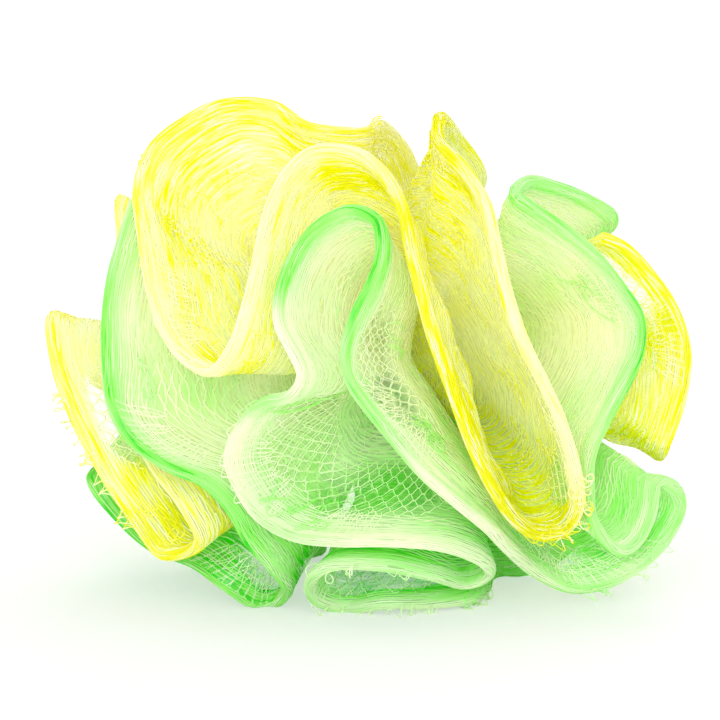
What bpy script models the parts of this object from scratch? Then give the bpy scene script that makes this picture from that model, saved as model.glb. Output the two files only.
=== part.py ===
"""Mesh bath sponge: two lengths of tubular netting, one yellow and white, one green and white.

Each length is folded flat, gathered along its inner edge round a small tied centre and left to stand out
as deep ruffles. Metres, +Z up, the base on z = 0 and the front toward -Y.
"""

import math

import bmesh
import bpy
import numpy as np
from mathutils import Vector

MM = 0.001

BALL_HALF_WIDTH = 65.0 * MM
BALL_HALF_HEIGHT = 51.5 * MM
BALL_HALF_DEPTH = 56.0 * MM
BASE_DROP = 46.5 * MM
GATHER_RADIUS = 9.0 * MM
HEM_THICKNESS = 3.2 * MM
WALL_THICKNESS = 1.0 * MM
HEM_HEIGHT = 3.2 * MM
TIE_CORD = 2.4 * MM
TIE_GAP = 0.4 * MM
TIE_TURNS = 4
GAP_WIDTH = 2.0 * MM
GAP_HEIGHT = 3.6 * MM
GAP_SHARE = 0.8
GAP_ROWS_START = 0.52
GAP_ROWS_SPAN = 0.30
SAME_FOLD = 14.0 * MM

VIEW_TILT = math.radians(12)
GATHER_TWIST = math.radians(50)
TWIST_REACH = 60.0 * MM
RIM_LIMIT = 0.985
PATH_STEPS = 24
YELLOW_STATIONS = 218
GREEN_STATIONS = 222

# Where the folded edge of each length runs over the ball, seen from the front: millimetres right and up of
# the middle on a ball of half width 65 and half height 51.5, then how far out it stands (1 is on the ball).
DRAWN_HALF_WIDTH = 65.0
DRAWN_HALF_HEIGHT = 51.5
FRONT = 1
BACK = -1

YELLOW_EDGE = [
    # Free end and the folds at the back.
    (BACK, [(12, 12, .92), (14, 2, .95), (8, -9, .96), (1, -4, .97), (-3, 9, .97), (-9, 6, .97),
            (-14, -9, .96), (-21, -5, .97), (-25, 9, .97), (-31, 5, .97), (-35, -9, .97), (-41, -4, .97),
            (-45, 7, .97), (-51, 2, .97), (-55, -6, .98), (-61, 5, 1)]),
    # Left pocket: down its outer edge, across the foot and up its inner edge.
    (FRONT, [(-64, 6, 1.02), (-62, -4, 1.02), (-58, -14, 1.02), (-52, -25, 1.03), (-46, -34, 1.05),
             (-41, -40, 1.08), (-34, -37, 1.02), (-37, -30, .97), (-43, -22, .92), (-48, -12, .90),
             (-50, 0, .88), (-50, 12, .88), (-50, 22, .90), (-50, 31, .93)]),
    (BACK, [(-50, 26, .97), (-45, 15, .96), (-37, 17, .96), (-34, 30, .97), (-29, 37, .97), (-23, 33, .96),
            (-20, 20, .96), (-13, 16, .96), (-9, 23, .97), (-10, 35, .97), (-6, 42, .97), (0, 36, .96),
            (3, 22, .96), (9, 21, .96), (12, 30, .97), (9, 41, .97), (4, 47, .96)]),
    # Upper left pocket: its back edge, its deep front lip and the arch beside it.
    (FRONT, [(-3, 45, .95), (-12, 46, .99), (-20, 51, 1.04), (-29, 51, 1.08), (-37, 47, 1.12),
             (-43, 42, 1.10), (-46, 34, 1.06), (-45, 24, 1.02), (-43, 12, 1), (-40, 4, 1), (-36, -1, 1),
             (-31, -3, 1), (-27, 2, 1), (-24, 11, 1), (-22, 20, 1), (-20, 29, 1), (-16, 37, 1),
             (-11, 41, 1), (-4, 41, 1), (2, 37, 1), (6, 30, 1), (8, 20, 1), (10, 12, 1)]),
    # Long tongue, down its left edge and back up its right edge.
    (FRONT, [(12, 4, 1), (16, -7, 1), (20, -18, 1), (24, -26, 1), (29, -33, 1), (34, -36, 1.02),
             (39, -35, 1.05), (42, -30, 1.07), (41, -22, 1.06), (38, -13, 1.03), (34, -5, 1), (30, 3, 1),
             (27, 12, 1), (25, 21, 1), (23, 30, 1), (19, 37, 1), (14, 43, 1), (14, 47, 1.03)]),
    (BACK, [(19, 45, 1), (24, 37, .97), (20, 28, .96), (25, 21, .96), (28, 12, .96), (22, 3, .95),
            (25, -7, .96), (33, -5, .96), (38, 1, .97), (44, -2, .97), (43, -11, .96), (50, -12, .97),
            (58, -19, 1)]),
    # Ruffle at the far right, its end tucked in beside the green edge.
    (FRONT, [(60, -17, 1.04), (63, -8, 1.03), (64, 1, 1.02), (61, 10, 1.02), (56, 17, 1.02),
             (51, 22, 1), (46, 24, .97)]),
]

GREEN_EDGE = [
    # Left band from its tucked end down to the fold at the lower left.
    (FRONT, [(-47, 31, 1), (-49, 24, 1), (-51, 16, 1), (-52, 8, 1), (-52, -1, 1), (-51, -10, 1),
             (-47, -17, 1), (-40, -22, 1), (-33, -25, 1), (-28, -30, 1), (-24, -37, 1), (-19, -43, 1),
             (-17, -48, 1), (-21, -51, 1.06), (-28, -47, 1.04), (-35, -42, 1), (-43, -39, .98),
             (-50, -33, .98), (-55, -27, .98)]),
    (BACK, [(-54, -22, 1), (-47, -15, .97), (-42, -22, .97), (-40, -38, 1.03), (-32, -43, 1.05),
            (-28, -24, .97), (-23, -15, .96), (-19, -23, .97), (-18, -42, 1.04), (-11, -43, 1.04),
            (-8, -26, .97), (-4, -15, .96), (1, -19, .96), (2, -34, .99), (7, -43, 1.03), (13, -42, 1.03),
            (14, -24, .96), (18, -15, .96), (23, -21, .96), (24, -39, 1.03), (31, -42, 1.05), (33, -26, .97),
            (40, -21, .97), (44, -28, .97), (43, -37, 1), (36, -43, .99), (27, -45, 1)]),
    # Bottom edge, the small flap, the pale band and the pocket at the lower middle.
    (FRONT, [(21, -49, 1.03), (12, -50, 1.03), (3, -50, 1.03), (-5, -51, 1.03), (-11, -49, 1.02),
             (-12, -45, 1), (-8, -42, 1), (2, -42, 1), (12, -44, 1), (20, -46, 1), (24, -44, 1),
             (22, -41, 1), (14, -38, 1), (4, -37, 1), (-6, -37, 1), (-15, -36, 1), (-22, -32, 1),
             (-26, -26, 1), (-28, -20, 1), (-25, -13, 1), (-20, -8, 1), (-16, -6, .97)]),
    # In behind the yellow lip, over the centre ribbon and down to the lower right.
    (FRONT, [(-19, -3, .94), (-20, 4, .96), (-18, 12, .99), (-15, 20, 1), (-10, 26, 1), (-4, 29, 1),
             (1, 27, 1), (2, 20, 1), (0, 14, 1), (-3, 8, 1), (-5, 1, 1), (-4, -5, 1), (0, -11, 1),
             (5, -17, 1), (10, -23, 1), (17, -29, 1), (23, -34, 1), (28, -39, 1), (34, -44, 1.04),
             (41, -47, 1.13), (48, -46, 1.18), (55, -42, 1.20), (60, -37, 1.19), (63, -31, 1.16),
             (61, -26, 1.13)]),
    # Lower right pocket, then the right pocket up its edge and over the short arc at its top.
    (FRONT, [(58, -25, 1.09), (57, -31, 1.13), (54, -37, 1.18), (50, -39, 1.19), (46, -35, 1.12),
             (44, -28, 1.02), (44, -20, .97), (47, -13, .98), (51, -6, 1), (54, 1, 1), (54, 8, 1),
             (50, 14, 1), (45, 20, 1), (39, 25, 1), (33, 29, 1), (29, 32, 1), (32, 35, 1), (37, 34, .98),
             (43, 32, .96), (49, 29, .95)]),
    (BACK, [(46, 26, 1), (38, 30, .97), (31, 27, .96), (34, 18, .96), (41, 21, .96), (45, 14, .96),
            (38, 8, .96), (45, 4, .97), (52, 9, .98), (58, 6, 1.01), (60, -1, 1.01), (52, -2, .98)]),
]

# Height of each row of the folded sheet: 0 at the gathers and 1 at the outer edge.
ROWS = (0.0, 0.45, 0.82)

# Open cells of the netting: which length, the drawn points of the edge they lie between, columns and rows.
GAP_PATCHES = [
    ("yellow_netting", (41, -27), (34, -5), 8, 4),
    ("green_netting", (2, -37), (-28, -20), 9, 4),
]


def clear_scene():
    for obj in list(bpy.data.objects):
        bpy.data.objects.remove(obj, do_unlink=True)


def new_collection(name, hidden=False):
    collection = bpy.data.collections.new(name)
    bpy.context.scene.collection.children.link(collection)
    collection.hide_render = hidden
    return collection


def plastic(name, colour, roughness):
    material = bpy.data.materials.new(name)
    material.use_nodes = True
    material.diffuse_color = (*colour, 1)
    shader = material.node_tree.nodes["Principled BSDF"]
    shader.inputs["Base Color"].default_value = (*colour, 1)
    shader.inputs["Roughness"].default_value = roughness
    return material


def ball_point(right, up, reach, side):
    """The drawn point as a place in space, the ball's middle at the origin."""
    across = math.hypot(right / DRAWN_HALF_WIDTH, up / DRAWN_HALF_HEIGHT) / reach
    if across > RIM_LIMIT:
        reach *= across / RIM_LIMIT
        across = RIM_LIMIT
    toward = side * BALL_HALF_DEPTH * math.sqrt(1 - across**2) * reach
    x = right / DRAWN_HALF_WIDTH * BALL_HALF_WIDTH
    v = up / DRAWN_HALF_HEIGHT * BALL_HALF_HEIGHT
    y = v * math.sin(VIEW_TILT) - toward * math.cos(VIEW_TILT)
    z = v * math.cos(VIEW_TILT) + toward * math.sin(VIEW_TILT)
    return np.array([x, y, z])


def smooth_curve(points):
    """A centripetal spline through the points, which keeps tight bends free of loops."""
    ends = np.vstack([2 * points[0] - points[1], points, 2 * points[-1] - points[-2]])
    runs = []
    for a, b, c, d in zip(ends, ends[1:], ends[2:], ends[3:]):
        t1 = math.sqrt(np.linalg.norm(b - a))
        t2 = t1 + math.sqrt(np.linalg.norm(c - b))
        t3 = t2 + math.sqrt(np.linalg.norm(d - c))
        t = np.linspace(t1, t2, PATH_STEPS, endpoint=False)[:, None]
        ab = (t1 - t) / t1 * a + t / t1 * b
        bc = (t2 - t) / (t2 - t1) * b + (t - t1) / (t2 - t1) * c
        cd = (t3 - t) / (t3 - t2) * c + (t - t2) / (t3 - t2) * d
        left = (t2 - t) / t2 * ab + t / t2 * bc
        right = (t3 - t) / (t3 - t1) * bc + (t - t1) / (t3 - t1) * cd
        runs.append((t2 - t) / (t2 - t1) * left + (t - t1) / (t2 - t1) * right)
    runs.append(points[-1:])
    return np.vstack(runs)


def folded_edge(drawn, stations):
    """The outer edge at even stations, closer together where it bends, lifted to the flat base."""
    points = [ball_point(right, up, reach, side) for side, run in drawn for right, up, reach in run]
    curve = smooth_curve(np.array(points))
    below = curve[:, 2] < -BASE_DROP
    curve[below] *= (-BASE_DROP / curve[below, 2])[:, None]
    steps = np.diff(curve, axis=0)
    lengths = np.linalg.norm(steps, axis=1)
    turns = np.zeros(len(curve))
    along = steps / lengths[:, None]
    turns[1:-1] = np.arccos(np.clip((along[1:] * along[:-1]).sum(axis=1), -1, 1))
    spread = np.convolve(turns, np.ones(PATH_STEPS) / PATH_STEPS, mode="same") * PATH_STEPS
    pace = lengths * (1 + 0.9 * (spread[1:] + spread[:-1]) / 2)
    travelled = np.concatenate([[0], np.cumsum(pace)])
    wanted = np.linspace(0, travelled[-1], stations)
    return np.stack([np.interp(wanted, travelled, curve[:, k]) for k in range(3)], axis=1)


def twist_at(radius):
    return GATHER_TWIST * np.maximum(0, 1 - radius / TWIST_REACH) ** 1.2


def turned(points, angle):
    c = np.cos(angle)
    s = np.sin(angle)
    x = points[..., 0] * c - points[..., 1] * s
    y = points[..., 0] * s + points[..., 1] * c
    return np.stack([x, y, points[..., 2] + 0 * x], axis=-1)


def sheet_point(edge, radius):
    """The place on the folded sheet at this radius, for each station of its outer edge."""
    reach = np.linalg.norm(edge, axis=-1)
    direction = turned(edge / reach[..., None], -twist_at(reach))
    return turned(direction * radius[..., None], twist_at(radius))


def room_beside(edge, others):
    """Distance from each station to the next fold over, along the ball."""
    directions = edge / np.linalg.norm(edge, axis=1)[:, None]
    lengths = np.linalg.norm(np.diff(edge, axis=0), axis=1)
    travelled = np.concatenate([[0], np.cumsum(lengths)])
    apart = np.arccos(np.clip(directions @ directions.T, -1, 1))
    near = np.abs(travelled[:, None] - travelled[None]) < SAME_FOLD
    apart[near] = math.pi
    other = others / np.linalg.norm(others, axis=1)[:, None]
    beside = np.arccos(np.clip(directions @ other.T, -1, 1)).min(axis=1)
    return np.minimum(apart.min(axis=1), beside)


def nearest_station(edge, right, up):
    """The station of the edge closest to a point drawn on the front of the ball."""
    spot = ball_point(right, up, 1, FRONT)
    return int(np.linalg.norm(edge - spot, axis=1).argmin())


def netting(name, edge, others, middle, collection, material):
    """One length of netting: a sheet from the gathers to the outer edge, thickened into a soft hem."""
    reach = np.linalg.norm(edge, axis=1)
    room = room_beside(edge, others)
    radii = [GATHER_RADIUS + (reach - GATHER_RADIUS) * row for row in ROWS]
    radii.append(reach - HEM_HEIGHT)
    radii.append(reach)
    inner = WALL_THICKNESS * 0.35
    half_way = WALL_THICKNESS * 0.6
    thickness = [inner, half_way, WALL_THICKNESS, HEM_THICKNESS, HEM_THICKNESS * 0.5]
    mesh = bpy.data.meshes.new(name)
    builder = bmesh.new()
    weights = builder.verts.layers.deform.verify()
    grid = []
    for radius, thick in zip(radii, thickness):
        share = np.minimum(thick, 0.62 * room * radius) / HEM_THICKNESS
        places = sheet_point(edge, radius)
        row = []
        for place, weight in zip(places, share):
            vertex = builder.verts.new(place)
            vertex[weights][0] = float(weight)
            row.append(vertex)
        grid.append(row)
    for low, high in zip(grid, grid[1:]):
        for a, b, c, d in zip(low, low[1:], high[1:], high):
            builder.faces.new((a, b, c, d))
    for vertex in builder.verts:
        vertex.co -= middle
    # The same diagonal on both sides of the sheet keeps a twisted part from crossing itself.
    bmesh.ops.triangulate(builder, faces=builder.faces, quad_method="SHORT_EDGE")
    builder.normal_update()
    builder.to_mesh(mesh)
    builder.free()
    obj = bpy.data.objects.new(name, mesh)
    collection.objects.link(obj)
    obj.vertex_groups.new(name="thickness")
    mesh.materials.append(material)
    thicken = obj.modifiers.new("thicken", "SOLIDIFY")
    thicken.thickness = HEM_THICKNESS
    thicken.offset = 0
    thicken.vertex_group = "thickness"
    thicken.use_rim = True
    return obj


def centre_tie(middle, collection, material):
    """The cord wound into a small ball at the middle, its ends tucked in."""
    radius = GATHER_RADIUS - TIE_GAP - TIE_CORD / 2
    count = TIE_TURNS * 12 + 1
    curve = bpy.data.curves.new("centre_tie", "CURVE")
    curve.dimensions = "3D"
    curve.bevel_depth = TIE_CORD / 2
    curve.bevel_resolution = 1
    curve.use_fill_caps = True
    curve.resolution_u = 1
    spline = curve.splines.new("POLY")
    spline.points.add(count - 1)
    for index in range(count):
        share = index / (count - 1)
        polar = math.radians(38) + share * math.radians(104)
        around = share * TIE_TURNS * math.tau
        x = radius * math.sin(polar) * math.cos(around)
        y = radius * math.sin(polar) * math.sin(around)
        z = radius * math.cos(polar)
        spline.points[index].co = (x - middle.x, y - middle.y, z - middle.z, 1)
    obj = bpy.data.objects.new("centre_tie", curve)
    curve.materials.append(material)
    collection.objects.link(obj)
    return obj


def box_cutter(collection):
    """Takes off whatever would sink below the base."""
    builder = bmesh.new()
    bmesh.ops.create_cube(builder, size=1)
    half = 2 * BALL_HALF_WIDTH
    for vertex in builder.verts:
        vertex.co = Vector((vertex.co.x * 2 * half, vertex.co.y * 2 * half, (vertex.co.z - 0.5) * half))
    mesh = bpy.data.meshes.new("below_base")
    builder.to_mesh(mesh)
    builder.free()
    obj = bpy.data.objects.new("below_base", mesh)
    collection.objects.link(obj)
    obj.hide_render = True
    obj.display_type = "WIRE"
    return obj


def gap_cutter(name, edge, first, last, columns, rows, middle, collection):
    """Staggered diamond cutters, one through each open cell of a patch of the netting."""
    builder = bmesh.new()
    for row in range(rows):
        height = GAP_ROWS_START + GAP_ROWS_SPAN * row / max(rows - 1, 1)
        for column in range(columns):
            station = first + (last - first) * (column + 0.5 * (row % 2)) / columns
            here = int(station)
            part = station - here
            spot = edge[here] * (1 - part) + edge[here + 1] * part
            ahead = edge[here + 1] - edge[here]
            reach = np.linalg.norm(spot)
            radius = GATHER_RADIUS + (reach - GATHER_RADIUS) * height
            centre = sheet_point(spot, np.array(radius))
            out = sheet_point(spot, np.array(radius + MM)) - centre
            beside = spot + ahead / np.linalg.norm(ahead) * 0.5 * MM
            along = sheet_point(beside, np.array(radius)) - centre
            beside_next = np.linalg.norm(ahead) * abs(last - first) / columns * radius / reach
            above_next = (reach - GATHER_RADIUS) * GAP_ROWS_SPAN / rows
            wide = min(GAP_WIDTH, GAP_SHARE * beside_next)
            tall = min(GAP_HEIGHT, GAP_SHARE * above_next)
            out = Vector(out).normalized()
            across = Vector(along).cross(out).normalized()
            along = out.cross(across)
            rings = []
            for side in (-1, 1):
                ring = []
                for u, v in ((-1, 0), (0, -1), (1, 0), (0, 1)):
                    corner = Vector(centre) + along * u * wide / 2 + out * v * tall / 2
                    corner += across * side * WALL_THICKNESS
                    ring.append(builder.verts.new(corner - middle))
                rings.append(ring)
            near, far = rings
            builder.faces.new(near)
            builder.faces.new(list(reversed(far)))
            for k in range(4):
                m = (k + 1) % 4
                builder.faces.new((near[m], near[k], far[k], far[m]))
    bmesh.ops.recalc_face_normals(builder, faces=builder.faces)
    mesh = bpy.data.meshes.new(name + "_gaps")
    builder.to_mesh(mesh)
    builder.free()
    obj = bpy.data.objects.new(name + "_gaps", mesh)
    collection.objects.link(obj)
    obj.hide_render = True
    obj.display_type = "WIRE"
    return obj


def cut_away(obj, cutter, label):
    cut = obj.modifiers.new(label, "BOOLEAN")
    cut.operation = "DIFFERENCE"
    cut.solver = "EXACT"
    cut.object = cutter


def main():
    clear_scene()
    sponge = new_collection("bath_sponge")
    cutters = new_collection("cutters", hidden=True)
    yellow = folded_edge(YELLOW_EDGE, YELLOW_STATIONS)
    green = folded_edge(GREEN_EDGE, GREEN_STATIONS)
    edges = {"yellow_netting": yellow, "green_netting": green}
    reached = np.vstack([yellow, green])
    centre = (reached.min(axis=0) + reached.max(axis=0)) / 2
    middle = Vector((centre[0], centre[1], -BASE_DROP))
    yellow_net = plastic("yellow_net", (0.84, 0.90, 0.02), 0.45)
    green_net = plastic("green_net", (0.34, 0.90, 0.20), 0.45)
    white_cord = plastic("white_cord", (0.86, 0.90, 0.84), 0.5)
    lengths = {
        "yellow_netting": netting("yellow_netting", yellow, green, middle, sponge, yellow_net),
        "green_netting": netting("green_netting", green, yellow, middle, sponge, green_net),
    }
    for name, start, end, columns, rows in GAP_PATCHES:
        ends = sorted([nearest_station(edges[name], *start), nearest_station(edges[name], *end)])
        cutter = gap_cutter(name, edges[name], *ends, columns, rows, middle, cutters)
        cut_away(lengths[name], cutter, "open_cells")
    floor = box_cutter(cutters)
    for obj in lengths.values():
        cut_away(obj, floor, "flat_base")
    centre_tie(middle, sponge, white_cord)


main()
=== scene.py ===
"""Looks of the mesh bath sponge: two ruffled tubes of netting, thread by thread, on a white floor."""

import math
from types import SimpleNamespace

import bpy
import numpy as np
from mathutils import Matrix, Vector


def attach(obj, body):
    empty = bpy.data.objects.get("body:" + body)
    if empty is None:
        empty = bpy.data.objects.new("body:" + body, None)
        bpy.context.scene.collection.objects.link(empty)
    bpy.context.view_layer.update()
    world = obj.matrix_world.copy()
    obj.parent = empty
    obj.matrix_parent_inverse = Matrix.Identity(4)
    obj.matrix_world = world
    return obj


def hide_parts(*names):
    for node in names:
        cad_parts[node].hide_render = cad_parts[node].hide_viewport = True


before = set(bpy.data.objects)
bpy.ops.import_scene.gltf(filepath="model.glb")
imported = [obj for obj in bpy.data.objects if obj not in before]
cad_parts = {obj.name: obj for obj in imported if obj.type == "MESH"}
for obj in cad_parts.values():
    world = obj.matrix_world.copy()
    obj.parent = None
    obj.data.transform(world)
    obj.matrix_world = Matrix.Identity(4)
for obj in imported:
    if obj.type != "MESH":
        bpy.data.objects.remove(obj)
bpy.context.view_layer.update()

MM = 0.001

BALL_HALF_WIDTH = 65.0 * MM
BALL_HALF_HEIGHT = 51.5 * MM
BALL_HALF_DEPTH = 56.0 * MM
BASE_DROP = 46.5 * MM
VIEW_TILT = math.radians(12)
GATHER_TWIST = math.radians(50)
TWIST_REACH = 60.0 * MM
RIM_LIMIT = 0.985
TWIST_POWER = 1.2
PATH_STEPS = 24

# Where the folded edge of each length runs over the ball, seen from the front: millimetres right and up of
# the middle on a ball of half width 65 and half height 51.5, then how far out it stands (1 is on the ball).
DRAWN_HALF_WIDTH = 65.0
DRAWN_HALF_HEIGHT = 51.5
FRONT = 1
BACK = -1

YELLOW_EDGE = [
    # Free end and the folds at the back.
    (BACK, [(12, 12, .92), (14, 2, .95), (8, -9, .96), (1, -4, .97), (-3, 9, .97), (-9, 6, .97),
            (-14, -9, .96), (-21, -5, .97), (-25, 9, .97), (-31, 5, .97), (-35, -9, .97), (-41, -4, .97),
            (-45, 7, .97), (-51, 2, .97), (-55, -6, .98), (-61, 5, 1)]),
    # Left pocket: down its outer edge, across the foot and up its inner edge.
    (FRONT, [(-64, 6, 1.02), (-62, -4, 1.02), (-58, -14, 1.02), (-52, -25, 1.03), (-46, -34, 1.05),
             (-41, -40, 1.08), (-34, -37, 1.02), (-37, -30, .97), (-43, -22, .92), (-48, -12, .90),
             (-50, 0, .88), (-50, 12, .88), (-50, 22, .90), (-50, 31, .93)]),
    (BACK, [(-50, 26, .97), (-45, 15, .96), (-37, 17, .96), (-34, 30, .97), (-29, 37, .97), (-23, 33, .96),
            (-20, 20, .96), (-13, 16, .96), (-9, 23, .97), (-10, 35, .97), (-6, 42, .97), (0, 36, .96),
            (3, 22, .96), (9, 21, .96), (12, 30, .97), (9, 41, .97), (4, 47, .96)]),
    # Upper left pocket: its back edge, its deep front lip and the arch beside it.
    (FRONT, [(-3, 45, .95), (-12, 46, .99), (-20, 51, 1.04), (-29, 51, 1.08), (-37, 47, 1.12),
             (-43, 42, 1.10), (-46, 34, 1.06), (-45, 24, 1.02), (-43, 12, 1), (-40, 4, 1), (-36, -1, 1),
             (-31, -3, 1), (-27, 2, 1), (-24, 11, 1), (-22, 20, 1), (-20, 29, 1), (-16, 37, 1),
             (-11, 41, 1), (-4, 41, 1), (2, 37, 1), (6, 30, 1), (8, 20, 1), (10, 12, 1)]),
    # Long tongue, down its left edge and back up its right edge.
    (FRONT, [(12, 4, 1), (16, -7, 1), (20, -18, 1), (24, -26, 1), (29, -33, 1), (34, -36, 1.02),
             (39, -35, 1.05), (42, -30, 1.07), (41, -22, 1.06), (38, -13, 1.03), (34, -5, 1), (30, 3, 1),
             (27, 12, 1), (25, 21, 1), (23, 30, 1), (19, 37, 1), (14, 43, 1), (14, 47, 1.03)]),
    (BACK, [(19, 45, 1), (24, 37, .97), (20, 28, .96), (25, 21, .96), (28, 12, .96), (22, 3, .95),
            (25, -7, .96), (33, -5, .96), (38, 1, .97), (44, -2, .97), (43, -11, .96), (50, -12, .97),
            (58, -19, 1)]),
    # Ruffle at the far right, its end tucked in beside the green edge.
    (FRONT, [(60, -17, 1.04), (63, -8, 1.03), (64, 1, 1.02), (61, 10, 1.02), (56, 17, 1.02),
             (51, 22, 1), (46, 24, .97)]),
]

GREEN_EDGE = [
    # Left band from its tucked end down to the fold at the lower left.
    (FRONT, [(-47, 31, 1), (-49, 24, 1), (-51, 16, 1), (-52, 8, 1), (-52, -1, 1), (-51, -10, 1),
             (-47, -17, 1), (-40, -22, 1), (-33, -25, 1), (-28, -30, 1), (-24, -37, 1), (-19, -43, 1),
             (-17, -48, 1), (-21, -51, 1.06), (-28, -47, 1.04), (-35, -42, 1), (-43, -39, .98),
             (-50, -33, .98), (-55, -27, .98)]),
    (BACK, [(-54, -22, 1), (-47, -15, .97), (-42, -22, .97), (-40, -38, 1.03), (-32, -43, 1.05),
            (-28, -24, .97), (-23, -15, .96), (-19, -23, .97), (-18, -42, 1.04), (-11, -43, 1.04),
            (-8, -26, .97), (-4, -15, .96), (1, -19, .96), (2, -34, .99), (7, -43, 1.03), (13, -42, 1.03),
            (14, -24, .96), (18, -15, .96), (23, -21, .96), (24, -39, 1.03), (31, -42, 1.05),
            (33, -26, .97), (40, -21, .97), (44, -28, .97), (43, -37, 1), (36, -43, .99), (27, -45, 1)]),
    # Bottom edge, the small flap, the pale band and the pocket at the lower middle.
    (FRONT, [(21, -49, 1.03), (12, -50, 1.03), (3, -50, 1.03), (-5, -51, 1.03), (-11, -49, 1.02),
             (-12, -45, 1), (-8, -42, 1), (2, -42, 1), (12, -44, 1), (20, -46, 1), (24, -44, 1),
             (22, -41, 1), (14, -38, 1), (4, -37, 1), (-6, -37, 1), (-15, -36, 1), (-22, -32, 1),
             (-26, -26, 1), (-28, -20, 1), (-25, -13, 1), (-20.5, -9, 1), (-16, -8, .99)]),
    # In behind the yellow lip, over the centre ribbon and down to the lower right.
    (FRONT, [(-13.5, -4, .98), (-15.5, 1, .97), (-18, 6, .975), (-18, 12, .99), (-15, 20, 1),
             (-10, 26, 1), (-4, 29, 1), (1, 27, 1), (2, 20, 1), (0, 14, 1), (-3, 8, 1), (-5, 1, 1),
             (-4, -5, 1), (0, -11, 1), (5, -17, 1), (10, -23, 1), (17, -29, 1), (23, -34, 1),
             (28, -39, 1), (34, -44, 1.04), (41, -47, 1.13), (48, -46, 1.18), (55, -42, 1.20),
             (60, -37, 1.19), (63, -31, 1.16), (61, -26, 1.13)]),
    # Lower right pocket, then the right pocket up its edge and over the short arc at its top.
    (FRONT, [(58, -25, 1.09), (57, -31, 1.13), (54, -37, 1.18), (50, -39, 1.19), (46, -35, 1.12),
             (44, -28, 1.02), (44, -20, .97), (47, -13, .98), (51, -6, 1), (54, 1, 1), (54, 8, 1),
             (50, 14, 1), (45, 20, 1), (39, 25, 1), (33, 29, 1), (29, 32, 1), (32, 35, 1), (37, 34, .98),
             (43, 32, .96), (49, 29, .95)]),
    (BACK, [(46, 26, 1), (38, 30, .97), (31, 27, .96), (34, 18, .96), (41, 21, .96), (45, 14, .96),
            (38, 8, .96), (45, 4, .97), (52, 9, .98), (58, 6, 1.01), (60, -1, 1.01), (52, -2, .98)]),
]

# The tube of netting: stations along its edge, the fold round its lip, the gap between its two walls.
EDGE_STEP = 1.0 * MM
DEEPEST_RADIUS = 10.5 * MM
GRID_ROWS = 48
GRID_END = 1.001
SMOOTH_STATIONS = 9
OWN_FOLD = 14.0 * MM
LIP_HALF_WIDTH = 1.15 * MM
NARROWEST_LIP = 0.6 * MM
LIP_HEIGHT = 1.3 * MM
LIP_ARC = 1.9 * MM
WALL_HALF_GAP = 0.45 * MM
LIP_FADE = 2.4 * MM
LIP_FADE_POWER = 1.4
NARROWING_POWER = 0.7
ROOM_SHARE = 0.36
CRUMPLE = 0.9 * MM
CRUMPLE_ROOM_SHARE = 0.14
CRUMPLE_START = 6.0 * MM
FLOOR_CLEARANCE = 0.25 * MM

# Random waves over the netting: about how long they are along the edge and away from the lip.
CRUMPLE_WAVES = (11.0 * MM, 9.0 * MM)
BUNCHING_WAVES = (16.0 * MM, 7.0 * MM)
STREAK_WAVES = (22.0 * MM, 1.6 * MM)
STREAK_COUNT = 14
PATCH_WAVES = (14.0 * MM, 8.0 * MM)
CURL_WAVES = (0.16, 1.0)
CURL_COUNT = 5
WAVE_SPREAD = 2.2
WAVE_PEAK = 1.3

# The strands: how far apart they run at this distance from the lip, in millimetres, and what share of that
# distance they swing to and fro.
SPACINGS = [(0.0, 0.36), (3.0, 0.40), (6.0, 0.58), (10.0, 0.85), (16.0, 1.2), (26.0, 2.0), (36.0, 3.2),
            (50.0, 3.8)]
SWINGS = [(0.0, 0.12), (5.0, 0.2), (9.0, 0.45), (18.0, 0.75), (28.0, 1.0), (50.0, 1.0)]
CELL_LENGTH = 7.0 * MM
STEPS_PER_CELL = 4
DEEPEST_STRAND = 46.0 * MM
STRAND_END = 2.0 * MM
BUNCHING = 0.5
LEAST_SWING = 0.08
SWING_SHARE = 0.52
WANDER_START = 40.0 * MM
WANDER_SHARE = 0.9
JITTER_SHARE = 0.10
STRAND_LIFTS = (-0.06, 0.14)
BREAKS = 0.006
OPEN_ENOUGH = 0.45
LIP_STRAND_RADIUS = 0.14 * MM
WALL_STRAND_RADIUS = 0.10 * MM
WALL_START = 6.0 * MM
UNEVEN_RADIUS = 0.2
RADIUS_RANGE = (0.8, 1.3)
STREAK_SWELL = 0.07 * MM
SWELL_TINTS = (0.375, 1.0)
STREAK_TINT = 0.25
STREAK_NOISE = 0.06

# The open cells and the threads drawn down from the lip. Lengths without MM are in millimetres.
PATCH_REACH = 1.25
LACE_RADIUS = 0.10 * MM
LACE_PITCH = 1.7 * MM
LACE_CELL = 4.2 * MM
LACE_STEP = 0.5 * MM
LACE_RIM = 1.25
LACE_SWING = 0.53 * LACE_PITCH
LACE_UNEVEN = 1.1
LACE_WANDER = 0.45 * MM
LACE_WANDER_ROW = 9.0 * MM
LACE_JITTER = 0.02 * LACE_PITCH
LACE_LIFT = 0.06 * MM
LACE_TINT = 0.25
FAN_PITCH = 0.95 * MM
FAN_POINTS = 12
FAN_REACHES = (0.75, 1.1)
FAN_BOW = 0.5 * FAN_PITCH
FAN_NARROWING = 0.35
FAN_JITTER = 0.2
FAN_STRAY = 1.0
FAN_LIFT = 0.12 * MM
FAN_TINT = 0.2

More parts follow.
